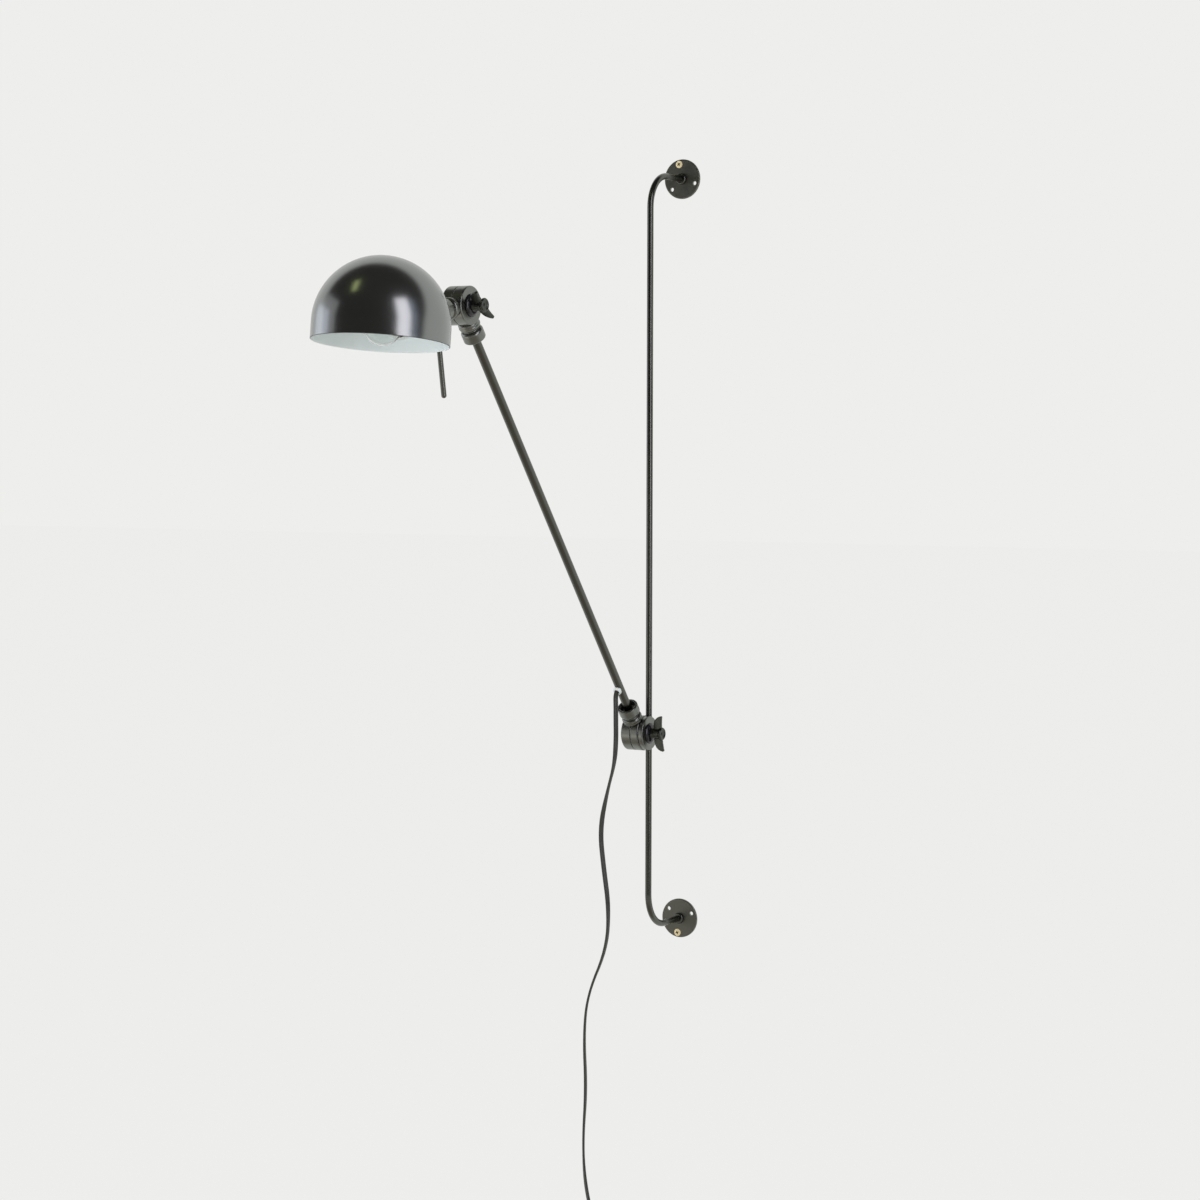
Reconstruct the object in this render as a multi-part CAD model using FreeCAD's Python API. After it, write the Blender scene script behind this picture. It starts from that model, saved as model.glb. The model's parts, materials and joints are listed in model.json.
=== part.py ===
"""Articulating wall lamp: a wall rail, a clamp that slides and turns on it, an arm, and a domed shade.

Millimetres. +X runs to the right along the wall, +Y into the wall, +Z up. The origin is the centre of the
lower flange where it meets the wall, so everything else stands out into the room, towards -Y.
"""
import FreeCAD, Part
import math
import os

from FreeCAD import Vector as V

os.makedirs("parts", exist_ok=True)

# ---- driving dimensions ----
RAIL_SPAN = 946.0        # between the two wall flanges' centres
RAIL_STANDOFF = 86.0     # wall to the middle of the rod
ROD_R = 4.0
BEND_R = 42.0            # middle of the rod at each bent end
FLANGE_R = 25.0
FLANGE_T = 3.0
HOLE_R = 2.6
HOLE_PCD = 38.0
HOLE_TURN = {"upper": 102.0, "lower": 263.0}   # the used screw hole, in degrees from +X towards +Z

PIVOT_Z = 248.0          # lower joint's height
PIVOT_FRONT = 8.4        # the bolt passes this far in front of the rod
SEAM_LEFT = 10.6         # the joints' split plane, left of the rod
ARM_LENGTH = 661.0       # bolt to bolt
ARM_LEAN = 38.6          # from the vertical, outwards
TUBE_R = 5.25
TUBE_WALL = 1.0

DRUM_R = 22.0
DRUM_HALF = 12.8         # thickness of a knuckle's half of a joint's drum
SEAM_GAP = 1.0           # holds a friction disc
FACE_GAP = 0.3           # free air between faces that turn on each other
BOLT_R = 3.0
RUN_CLEAR = 0.05
NECK_TOP = 46.0          # rim of the collar cup, from the bolt
NECK_SEAT = 30.0         # where the tube's end sits
SCREW_AT = 32.2          # grub screw in a collar's waist
SCREW_R = 1.2
CUP_R = 13.0
CUP_BORE_R = 10.2

STEM_DROP = 10.0         # the stem points this far below the horizontal
STEM_REACH = 161.5       # upper bolt to the middle of the dome
SHADE_R = 75.0
SHADE_T = 1.0
SKIRT = 19.0
SHADE_TILT = 6.5         # the dome's axis leans its crown this far to the wall
HANDLE_AT = 53.0         # along the stem from the bolt
HANDLE_R = 3.0
HANDLE_LENGTH = 96.0

LINER_R = 4.6            # split liner between the rod and the clamp
NUT_GRIP = 9.5           # length of bolt inside a wing nut
LOWER_NUT_TURN = 4.0     # where the wings stand, in degrees
UPPER_NUT_TURN = 58.0

CORD_R = 3.0
CORD_AT = 78.0           # the bushing, up the arm from the lower bolt
COIL_OUT = 44.3          # largest loop of the coil, at the middle of the cord
COIL_STEP = 7.5          # from loop to loop
COIL_LAYER = 7.1         # from layer to layer
COIL_IN_TURNS = 2.75     # the first layer winds inwards this far, and the second as far out again
COIL_CROSS_TURNS = 0.5   # between them
TIE_WIDTH = 8.0
PIN_R = 2.0
PIN_SPACING = 19.0
PIN_LENGTH = 19.0

# ---- places worked out from them ----
WALL_Y = 0.0
ROD_Y = WALL_Y - RAIL_STANDOFF
SEAM_X = -SEAM_LEFT
LOWER = V(SEAM_X, ROD_Y - PIVOT_FRONT, PIVOT_Z)
LEAN = math.radians(ARM_LEAN)
ARM_DIR = V(0, -math.sin(LEAN), math.cos(LEAN))
UPPER = LOWER + ARM_DIR * ARM_LENGTH
DROP = math.radians(STEM_DROP)
STEM_DIR = V(0, -math.cos(DROP), -math.sin(DROP))
HANDLE_DIR = V(0, math.sin(DROP), -math.cos(DROP))
DOME = UPPER + STEM_DIR * STEM_REACH
X, Y, Z = V(1, 0, 0), V(0, 1, 0), V(0, 0, 1)
HALF = SEAM_GAP / 2


def save(name, *solids):
    """One STEP for a node: one solid, or a group of separate ones."""
    shape = solids[0] if len(solids) == 1 else Part.makeCompound(list(solids))
    for solid in shape.Solids:
        if not solid.isValid() or solid.Volume <= 0:
            raise RuntimeError("bad solid in " + name)
    shape.exportStep("parts/" + name + ".step")
    print("%-24s %d solid(s) %9.1f mm3" % (name, len(shape.Solids), shape.Volume))


def one(shape):
    """The single solid of a boolean's result, with split faces joined."""
    solids = shape.removeSplitter().Solids
    if len(solids) != 1:
        raise RuntimeError("expected one solid, got %d" % len(solids))
    return solids[0]


def rod(start, along, radius, length):
    return Part.makeCylinder(radius, length, start, along)


def turned(outline):
    """A solid of revolution about Z. The outline lists (radius, height), and a point with two more
    numbers is reached by an arc that passes through those."""
    edges = []
    last = outline[0]
    for point in outline[1:] + [outline[0]]:
        start, end = V(last[0], 0, last[1]), V(point[0], 0, point[1])
        if start.distanceToPoint(end) > 1e-6:
            if len(point) == 4:
                edges.append(Part.Arc(start, V(point[2], 0, point[3]), end).toShape())
            else:
                edges.append(Part.LineSegment(start, end).toShape())
        last = point
    face = Part.Face(Part.Wire(edges))
    return face.revolve(V(0, 0, 0), Z, 360).Solids[0]


def stood(shape, place, along):
    """A shape made along Z at the origin, moved to a place and turned to look along a direction."""
    moved = shape.copy()
    moved.Placement = FreeCAD.Placement(place, FreeCAD.Rotation(Z, along))
    return moved


def about_x(shape, place, along):
    """As stood(), but for a joint piece: its own X axis stays on the bolt."""
    angle = math.degrees(math.atan2(-along.y, along.z))
    moved = shape.copy()
    moved.Placement = FreeCAD.Placement(place, FreeCAD.Rotation(X, angle))
    return moved


def tube_path(points):
    """Straight runs joined by tangent arcs, each arc as large as its two runs allow."""
    edges, radii, at = [], [], points[0]
    for before, corner, after in zip(points, points[1:], points[2:]):
        a, b = (before - corner), (after - corner)
        short = min(a.Length, b.Length)
        a.normalize()
        b.normalize()
        half_turn = (math.pi - a.getAngle(b)) / 2
        setback = 0.45 * short
        radii.append(setback / math.tan(half_turn))
        start, end = corner + a * setback, corner + b * setback
        middle = (a + b).normalize()
        depth = radii[-1] / math.cos(half_turn) - radii[-1]
        edges.append(Part.LineSegment(at, start).toShape())
        edges.append(Part.Arc(start, corner + middle * depth, end).toShape())
        at = end
    edges.append(Part.LineSegment(at, points[-1]).toShape())
    return Part.Wire(edges), radii


def cord_tube(name, path):
    along = path.Edges[0].tangentAt(path.Edges[0].FirstParameter)
    start = path.Edges[0].valueAt(path.Edges[0].FirstParameter)
    ring = Part.Wire(Part.makeCircle(CORD_R, start, along))
    tube = path.makePipeShell([ring], True, False).Solids[0]
    ideal = math.pi * CORD_R ** 2 * path.Length
    print("%s: length %.0f, volume %.3f of section x length" % (name, path.Length, tube.Volume / ideal))
    return tube


# ---- wall rail: one steel rod bent at both ends, two flanges, and the collars that root it ----
def wall_rod():
    top = RAIL_SPAN
    b = BEND_R
    corner = b * (1 - math.sqrt(0.5))
    back = WALL_Y - FLANGE_T
    low_mid = V(0, ROD_Y + corner, corner)
    high_mid = V(0, ROD_Y + corner, top - corner)
    edges = [
        Part.LineSegment(V(0, back, 0), V(0, ROD_Y + b, 0)).toShape(),
        Part.Arc(V(0, ROD_Y + b, 0), low_mid, V(0, ROD_Y, b)).toShape(),
        Part.LineSegment(V(0, ROD_Y, b), V(0, ROD_Y, top - b)).toShape(),
        Part.Arc(V(0, ROD_Y, top - b), high_mid, V(0, ROD_Y + b, top)).toShape(),
        Part.LineSegment(V(0, ROD_Y + b, top), V(0, back, top)).toShape(),
    ]
    ring = Part.Wire(Part.makeCircle(ROD_R, V(0, back, 0), Y))
    return Part.Wire(edges).makePipeShell([ring], True, False).Solids[0]


def flange(height, first_hole):
    """A turned disc with a rounded front edge and three screw holes."""
    edge = 1.2
    dip = edge * (1 - math.sqrt(0.5))
    disc = turned([(0, 0), (FLANGE_R, 0), (FLANGE_R, FLANGE_T - edge),
                   (FLANGE_R - edge, FLANGE_T, FLANGE_R - dip, FLANGE_T - dip), (0, FLANGE_T)])
    disc = stood(disc, V(0, WALL_Y, height), -Y)
    for n in range(3):
        turn = math.radians(first_hole + 120 * n)
        at = V(math.cos(turn), 0, math.sin(turn)) * (HOLE_PCD / 2) + V(0, WALL_Y, height)
        disc = disc.cut(rod(at + Y, -Y, HOLE_R, FLANGE_T + 2))
    return one(disc)


def root_collar(height):
    """The small turned collar at the root of the rod."""
    collar = turned([(ROD_R, 0), (7.0, 0), (7.0, 2.2), (5.2, 4.6, 6.5, 4.0), (ROD_R, 4.6)])
    return stood(collar, V(0, WALL_Y - FLANGE_T, height), -Y)


# ---- joint pieces, made with the bolt along X and the arm along Z ----
def neck():
    """The turned collar of a joint casting: shoulder, waist and open cup, bored for the tube."""
    return turned([
        (0, 8), (8.0, 8), (8.0, 19.5), (12.2, 25.0, 11.3, 20.8), (9.6, 30.0, 12.0, 28.8),
        (9.4, 32.0), (CUP_R, 36.5, 11.6, 33.0), (CUP_R, 44.6), (CUP_R - 1.4, NECK_TOP, CUP_R - 0.4, 45.6),
        (CUP_BORE_R, NECK_TOP), (CUP_BORE_R, 37.0), (TUBE_R, 34.6), (TUBE_R, NECK_SEAT), (0, NECK_SEAT)])


def drum_half(side, thick, radius=DRUM_R):
    """A disc on one side of the seam, with its outer edge rounded."""
    e = 1.5
    dip = e * (1 - math.sqrt(0.5))
    disc = turned([(0, 0), (radius, 0), (radius, thick - e), (radius - e, thick, radius - dip, thick - dip),
                   (0, thick)])
    return stood(disc, V(side * HALF, 0, 0), X * side)


def knuckle(side):
    """A joint casting: a half drum with its collar standing over the seam."""
    room = DRUM_R + 0.5
    other = rod(V(-side * (DRUM_R + 5), 0, 0), X * side, room, DRUM_R + 5 + HALF)
    collar = neck()
    collar.rotate(V(0, 0, 0), Z, 90)
    body = drum_half(side, DRUM_HALF).fuse(collar.cut(other))
    body = body.cut(rod(V(-30, 0, 0), X, BOLT_R + RUN_CLEAR, 60))
    return one(body.cut(set_screw(V(0, 0, 0), Z, X * side)))


def set_screw(joint, along, side):
    """A grub screw in the waist of a collar."""
    return rod(joint + along * SCREW_AT + side * TUBE_R, side, SCREW_R, 3.6)


def friction_disc():
    """A thin fibre washer in the seam."""
    return rod(V(-HALF, 0, 0), X, DRUM_R - 1.5, SEAM_GAP - FACE_GAP).cut(rod(V(-5, 0, 0), X, BOLT_R, 10))


def pivot_bolt_at(joint, head_x, end_x):
    """A plain shank with a low domed head on the left."""
    head = turned([(0, 0), (7.5, 0), (7.5, 0.8), (1.0, 3.2, 4.6, 2.4), (0, 3.2)])
    head = stood(head, V(head_x, joint.y, joint.z), -X)
    shank = rod(V(head_x - 0.5, joint.y, joint.z), X, BOLT_R, end_x - head_x + 0.5)
    return one(head.fuse(shank))


CUP_T = 3.4                              # a cup washer's height
CUP_BASE = 2.2


def cup_washer():
    """A pressed cup under the wing nut, open towards the drum's face."""
    inner = BOLT_R + RUN_CLEAR
    cup = turned([(inner, CUP_BASE), (8.2, CUP_BASE), (9.8, 0, 9.4, 1.4), (11.0, 0), (9.0, CUP_T, 10.4, 2.3),
                  (inner, CUP_T)])
    return stood(cup, V(0, 0, 0), X)


def wing_nut():
    """A cast wing nut: a tapering hub with a domed end, and two curved wings."""
    hub = turned([(0, 0), (7.6, 0), (6.4, 6.0), (6.2, 12.5), (1.0, 15.0, 4.6, 14.1), (0, 15.0)])
    wings = []
    for side in (1, -1):
        a, b = V(side * 4.5, 0, 1.2), V(side * 4.5, 0, 9.5)
        c, d = V(side * 21.5, 0, 13.6), V(side * 22.8, 0, 10.2)
        outline = [
            Part.LineSegment(a, b).toShape(),
            Part.Arc(b, V(side * 15.0, 0, 9.8), c).toShape(),
            Part.Arc(c, V(side * 23.4, 0, 12.4), d).toShape(),
            Part.Arc(d, V(side * 16.0, 0, 3.4), a).toShape(),
        ]
        face = Part.Face(Part.Wire(outline))
        face.translate(V(0, -1.6, 0))
        wings.append(face.extrude(V(0, 3.2, 0)))
    nut = hub.multiFuse(wings).cut(rod(V(0, 0, -1), Z, BOLT_R + RUN_CLEAR, 11.5))
    return stood(one(nut), V(0, 0, 0), X)


def turned_about(shape, place, degrees):
    """A piece made on the X axis, turned on it and put in its place."""
    moved = shape.copy()
    moved.Placement = FreeCAD.Placement(place, FreeCAD.Rotation(X, degrees)).multiply(moved.Placement)
    return moved


def moved_to(shape, place):
    return turned_about(shape, place, 0)


# ---- clamp on the rod ----
CLAMP_FACE = SEAM_LEFT - HALF            # thickness of the clamp casting, whose face is at the rod's middle
PLATE_IN = 0.8                           # clamp plate's inner face, from the rod's middle
PLATE_T = 5.6


def clamp_casting():
    """The clamp's half of the lower drum, with a round groove for the rod in its outer face."""
    body = drum_half(1, CLAMP_FACE)
    body = body.cut(rod(V(-5, 0, 0), X, BOLT_R, 60))
    body.translate(LOWER)
    return one(body.cut(rod(V(0, ROD_Y, PIVOT_Z - 40), Z, LINER_R + RUN_CLEAR, 80)))


def clamp_plate():
    """The outer plate that the wing nut presses on the rod."""
    e = 1.5
    r = DRUM_R - 0.7
    plate = turned([(0, 0), (r, 0), (r, PLATE_T - e), (r - e, PLATE_T, r - 0.44, PLATE_T - 0.44), (0, PLATE_T)])
    plate = stood(plate, V(PLATE_IN, LOWER.y, LOWER.z), X)
    plate = plate.cut(rod(V(-5, LOWER.y, LOWER.z), X, BOLT_R + RUN_CLEAR, 40))
    return one(plate.cut(rod(V(0, ROD_Y, PIVOT_Z - 40), Z, LINER_R + RUN_CLEAR, 80)))


def clamp_liner():
    """A thin split sleeve that slides on the rod and that the clamp turns on and grips."""
    tall = 2 * math.sqrt(DRUM_R ** 2 - PIVOT_FRONT ** 2) - 1.0
    foot = V(0, ROD_Y, PIVOT_Z - tall / 2)
    sleeve = rod(foot, Z, LINER_R, tall).cut(rod(foot - Z, Z, ROD_R + RUN_CLEAR, tall + 2))
    split = Part.makeBox(1.6, LINER_R + 1, tall + 2, foot + V(-0.8, 0, -1))
    return one(sleeve.cut(split))


# ---- arm ----
def arm_tube():
    start = LOWER + ARM_DIR * NECK_SEAT
    length = ARM_LENGTH - 2 * NECK_SEAT
    tube = rod(start, ARM_DIR, TUBE_R, length).cut(rod(start - ARM_DIR, ARM_DIR, TUBE_R - TUBE_WALL, length + 2))
    hole = rod(CORD_EXIT - CORD_OUT * 2, CORD_OUT, BUSH_R, 12)
    return one(tube.cut(hole))


BUSH_R = 4.0
CORD_OUT = V(0, -math.sin(math.radians(50)), -math.cos(math.radians(50)))
CORD_EXIT = LOWER + ARM_DIR * CORD_AT
ARM_SIDE = V(0, -math.cos(LEAN), -math.sin(LEAN))   # the arm's underside
LEAD_R = 2.4


def cord_bushing():
    """A short moulded bushing through the tube's underside, with a rounded lip."""
    lip = 6.0
    bush = turned([(CORD_R, 3.6), (BUSH_R, 3.6), (BUSH_R, lip), (BUSH_R + 1.4, lip), (BUSH_R + 1.4, lip + 1.4),
                   (BUSH_R, lip + 2.6, BUSH_R + 1.0, lip + 2.3), (CORD_R, lip + 2.6)])
    return stood(bush, CORD_EXIT, CORD_OUT)


def arm_lead():
    """The twin lead inside the tube, up from the bushing."""
    rest = ARM_SIDE * (TUBE_R - TUBE_WALL - LEAD_R - 0.02)
    return rod(CORD_EXIT + ARM_DIR * 12 + rest, ARM_DIR, LEAD_R, ARM_LENGTH - NECK_SEAT - CORD_AT - 14)


# ---- shade ----
def shade_shell():
    """A spun dome with a short straight skirt, bored where the stem comes in."""
    inner = SHADE_R - SHADE_T
    k = math.sqrt(0.5)
    shell = turned([
        (SHADE_R, -SKIRT), (SHADE_R, 0), (0, SHADE_R, SHADE_R * k, SHADE_R * k), (0, inner),
        (inner, 0, inner * k, inner * k), (inner, -SKIRT)])
    tilt = math.radians(SHADE_TILT)
    shell = stood(shell, DOME, V(0, math.sin(tilt), math.cos(tilt)))
    return one(shell.cut(rod(DOME, -STEM_DIR, STEM_R, SHADE_R + 10)))


STEM_R = 5.25
STEM_BORE = 3.4
STEM_END = STEM_REACH - SHADE_R + 14.0   # the stem's inner end, from the bolt


def stem_tube():
    start = UPPER + STEM_DIR * NECK_SEAT
    length = STEM_END - NECK_SEAT
    tube = rod(start, STEM_DIR, STEM_R, length).cut(rod(start - STEM_DIR, STEM_DIR, STEM_BORE, length + 2))
    return one(tube)


def stem_collars():
    """The two threaded collars that pinch the shell, one outside it and one inside."""
    wall = STEM_REACH - SHADE_R
    outside = turned([(STEM_R, 0), (7.5, 0), (10.5, 6.0, 8.2, 3.4), (10.5, 7.2), (STEM_R, 7.2)])
    outside = stood(outside, UPPER + STEM_DIR * (wall - 7.0), STEM_DIR)
    inside = turned([(STEM_R, 0), (10.0, 0), (10.0, 4.0), (STEM_R, 4.0)])
    inside = stood(inside, UPPER + STEM_DIR * (wall + SHADE_T + 0.4), STEM_DIR)
    ball = Part.makeSphere(SHADE_R, DOME)
    return [one(outside.cut(ball)), one(inside.common(Part.makeSphere(SHADE_R - SHADE_T, DOME)))]


def handle_block():
    """A turned ring on the stem that the handle screws into."""
    ring = rod(UPPER + STEM_DIR * (HANDLE_AT - 5), STEM_DIR, 9.0, 10)
    ring = ring.cut(rod(UPPER, STEM_DIR, STEM_R, STEM_REACH))
    return one(ring.cut(rod(UPPER + STEM_DIR * HANDLE_AT, HANDLE_DIR, HANDLE_R, 30)))


def handle_rod():
    """The straight aiming handle, with a rounded lower end."""
    r = HANDLE_R
    k = 1 - math.sqrt(0.5)
    bar = turned([(0, 6.5), (r, 6.5), (r, HANDLE_LENGTH - r), (0, HANDLE_LENGTH, r * (1 - k), HANDLE_LENGTH - r * k)])
    return stood(bar, UPPER + STEM_DIR * HANDLE_AT, HANDLE_DIR)


# ---- lampholder and bulb, made along Z from the stem's end ----
def lampholder_parts():
    """Cap, skirted body, porcelain insert, screw shell and centre contact."""
    cap = turned([(STEM_R, 0), (9.0, 0), (19.0, 7.0, 16.5, 2.0), (19.0, 14.0), (17.6, 14.0), (17.6, 7.5),
                  (9.0, 1.8, 15.5, 3.2), (STEM_R, 1.8)])
    body = turned([(17.4, 9.0), (17.4, 38.0), (20.5, 38.0), (20.5, 36.0), (19.0, 36.0), (19.0, 14.2), (17.6, 14.2),
                   (17.6, 9.0)])
    insert = turned([(0, 9.5), (17.2, 9.5), (17.2, 14.5), (0, 14.5)])
    shell = turned([(13.6, 14.5), (14.0, 14.5), (14.0, 36.0), (13.6, 36.0)])
    contact = turned([(0, 14.5), (4.0, 14.5), (3.0, 17.9), (0, 17.9)])
    return cap, body, insert, shell, contact


def bulb_parts():
    """A small globe lamp: screw cap, centre pip and glass."""
    cap = turned([(0, 17.9), (4.5, 17.9), (12.8, 21.5), (12.8, 40.0), (11.8, 40.0), (11.8, 22.0), (0, 20.0)])
    k = math.sqrt(0.5)
    inner = BULB_R - 0.8
    glass = turned([(10.8, 38.0), (11.8, 38.0), (11.8, 44.0), (BULB_R, 66.0, 17.2, 51.0),
                    (0, 66.0 + BULB_R, BULB_R * k, 66.0 + BULB_R * k), (0, 66.0 + inner),
                    (inner, 66.0, inner * k, 66.0 + inner * k), (10.8, 44.0, 16.3, 51.6)])
    return cap, glass


BULB_R = 22.0


# ---- cord: drop, coil of the put-away length, tail and plug ----
CORD_TOP = CORD_EXIT + CORD_OUT * 8.6
COIL_MID = CORD_TOP + V(-66.0, -10.0, -725.0)
COIL_IN = COIL_OUT - COIL_STEP * COIL_IN_TURNS
COIL_TURNS = 2 * COIL_IN_TURNS + COIL_CROSS_TURNS
LEAD = V(0, 0, 2 * CORD_R)               # a coil's end runs straight for one diameter


def coil_point(turn):
    """The middle of the cord at a number of turns: winding in, then across to the next layer, then out."""
    if turn < COIL_IN_TURNS:
        radius, layer = COIL_OUT - COIL_STEP * turn, 0.0
    elif turn < COIL_IN_TURNS + COIL_CROSS_TURNS:
        share = (turn - COIL_IN_TURNS) / COIL_CROSS_TURNS
        radius, layer = COIL_IN, (1 - math.cos(math.pi * share)) / 2
    else:
        radius, layer = COIL_IN + COIL_STEP * (turn - COIL_IN_TURNS - COIL_CROSS_TURNS), 1.0
    angle = 2 * math.pi * turn
    return COIL_MID + V(radius * math.cos(angle), -COIL_LAYER * layer, -radius * math.sin(angle))


def coil_heading(turn):
    """The cord's direction there; straight down at both ends, where the drop and the tail meet it."""
    if turn <= 0 or turn >= COIL_TURNS:
        return V(0, 0, -1)
    ahead = coil_point(turn + 0.001) - coil_point(turn - 0.001)
    return ahead.normalize()


COIL_START = coil_point(0)
COIL_END = coil_point(COIL_TURNS)

DROP_POINTS = [CORD_TOP] + [CORD_TOP + V(*step) for step in (
    (0.0, -5.4, -4.5), (0.3, -9.1, -10.4), (0.8, -11.0, -18.2), (1.5, -11.6, -33.0), (2.5, -11.2, -58.0),
    (2.0, -10.8, -90.0), (-8.0, -10.4, -124.0), (-21.5, -11.0, -168.0), (-14.5, -11.2, -222.0),
    (-3.0, -10.8, -272.0), (-8.0, -10.4, -322.0), (-41.0, -10.8, -374.0), (-40.5, -11.2, -438.0),
    (-37.0, -10.8, -496.0), (-43.5, -10.4, -560.0), (-42.0, -10.8, -616.0),
    (-27.0, -10.6, -664.0))] + [COIL_START + V(0, 0, 34.0), COIL_START + LEAD]
TAIL_POINTS = [COIL_END - LEAD, COIL_END + V(0, 0, -22.0), COIL_END + V(-6.0, 2.5, -42.0),
               COIL_END + V(-6.0, 2.5, -64.0)]
PLUG_AT = TAIL_POINTS[-1]


def arc_between(start, corner, end):
    """The arc tangent to both legs of a corner, whose legs are equally long."""
    a, b = start - corner, end - corner
    setback = a.Length
    a.normalize()
    b.normalize()
    half_turn = (math.pi - a.getAngle(b)) / 2
    radius = setback / math.tan(half_turn)
    depth = radius / math.cos(half_turn) - radius
    return Part.Arc(start, corner + (a + b).normalize() * depth, end).toShape()


def biarc(p, along_p, q, along_q):
    """Two arcs that meet smoothly and leave both ends along the given directions."""
    span = q - p
    both = span.dot(along_p + along_q)
    bend = 2 * (1 - along_p.dot(along_q))
    if bend < 1e-9:
        setback = span.Length ** 2 / (2 * both)
    else:
        setback = (math.sqrt(both ** 2 + bend * span.Length ** 2) - both) / bend
    first, second = p + along_p * setback, q - along_q * setback
    middle = (first + second) * 0.5
    return [arc_between(p, first, middle), arc_between(middle, second, q)]


def cord_drop():
    path, radii = tube_path(DROP_POINTS)
    print("drop radii: " + " ".join("%.0f" % r for r in radii))
    return cord_tube("cord_drop", path)


def cord_tail():
    path, radii = tube_path(TAIL_POINTS)
    print("tail radii: " + " ".join("%.0f" % r for r in radii))
    return cord_tube("cord_tail", path)


def cord_coil():
    """The put-away length as one unbroken tube, on biarcs of half a turn."""
    spans = int(round(COIL_TURNS * 2))
    stops = [n * COIL_TURNS / spans for n in range(spans + 1)]
    edges = [Part.LineSegment(COIL_START + LEAD, COIL_START).toShape()]
    for a, b in zip(stops, stops[1:]):
        edges += biarc(coil_point(a), coil_heading(a), coil_point(b), coil_heading(b))
    edges.append(Part.LineSegment(COIL_END, COIL_END - LEAD).toShape())
    path = Part.Wire(edges)
    samples = path.discretize(Number=1200)
    apart = int(1200 * 0.6 / COIL_TURNS)
    gap = min(p.distanceToPoint(q) for i, p in enumerate(samples) for q in samples[i + apart:]) - 2 * CORD_R
    print("coil: %.2f turns, least gap to itself %.2f" % (COIL_TURNS, gap))
    return cord_tube("cord_coil", path)


def coil_tie():
    """A flat band round all the loops, at the top of the coil."""
    room = 1.0
    low, high = COIL_IN - CORD_R - room, COIL_OUT + CORD_R - 0.9
    depth = COIL_LAYER + 2 * CORD_R + 2 * room
    corner = COIL_MID + V(-TIE_WIDTH / 2, -COIL_LAYER - CORD_R - room, low)
    hole = Part.makeBox(TIE_WIDTH, depth, high - low, corner)
    band = Part.makeBox(TIE_WIDTH, depth + 2.4, high - low + 2.4, corner - V(0, 1.2, 1.2))
    band = band.makeFillet(1.8, [e for e in band.Edges if abs(e.tangentAt(e.FirstParameter).x) > 0.9])
    return one(band.cut(hole))


def plug_parts():
    """A moulded two-pin plug hanging from the tail: a body with a tapering neck, and its pins."""
    sections = []
    for down, wide, deep in ((0, 4.2, 4.2), (14, 5.0, 4.6), (24, 9.0, 6.2), (34, 17.0, 7.0), (50, 17.4, 7.0)):
        circle = Part.Ellipse(PLUG_AT + V(0, 0, -down), wide, deep).toShape()
        sections.append(Part.Wire(circle))
    body = Part.makeLoft(sections, True, True).Solids[0]
    pins = []
    for side in (-1, 1):
        top = PLUG_AT + V(side * PIN_SPACING / 2, 0, -50.0)
        pins.append(rod(top, -Z, PIN_R, PIN_LENGTH))
    return body, pins


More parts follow.
